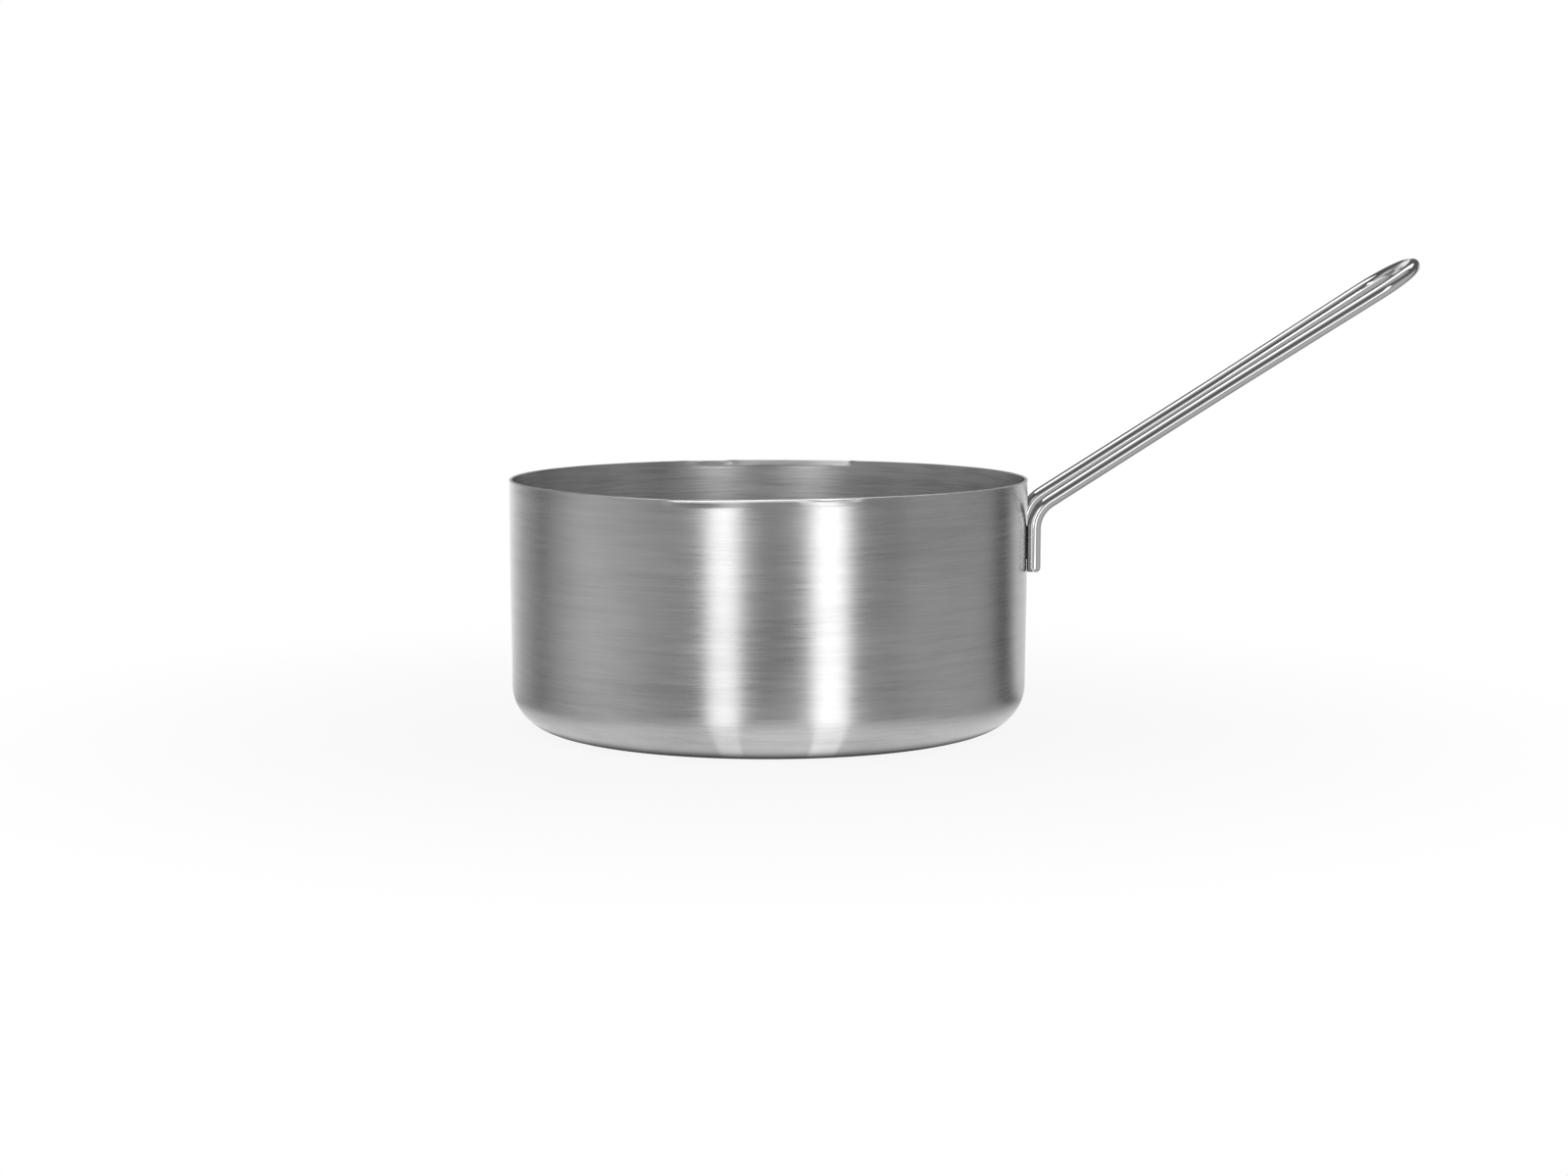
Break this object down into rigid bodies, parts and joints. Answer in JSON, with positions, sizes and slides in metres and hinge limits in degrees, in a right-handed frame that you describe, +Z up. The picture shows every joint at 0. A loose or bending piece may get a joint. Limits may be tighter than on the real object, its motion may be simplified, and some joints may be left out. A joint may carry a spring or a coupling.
{
  "type": "milk pan",
  "caption": "Small straight-sided stainless saucepan with two pouring lips and a raised handle bent from one round wire.",
  "frame": {"origin": "middle of the flat underside of the base, on the bowl's own axis", "axes": "+Z up along the bowl's axis, +X along the handle away from the bowl, so the pouring lips face -Y and +Y"},
  "size_m": [0.2452, 0.142, 0.1262],
  "materials": {
    "bowl_steel": "satin, brushed round the bowl",
    "handle_steel": "polished stainless wire",
    "weld_steel": "dull resistance weld"
  },
  "bodies": {
    "root": {"pan_body": "bowl_steel", "handle_loop": "handle_steel", "left_handle_weld": "weld_steel", "right_handle_weld": "weld_steel"}
  },
  "joints": []
}
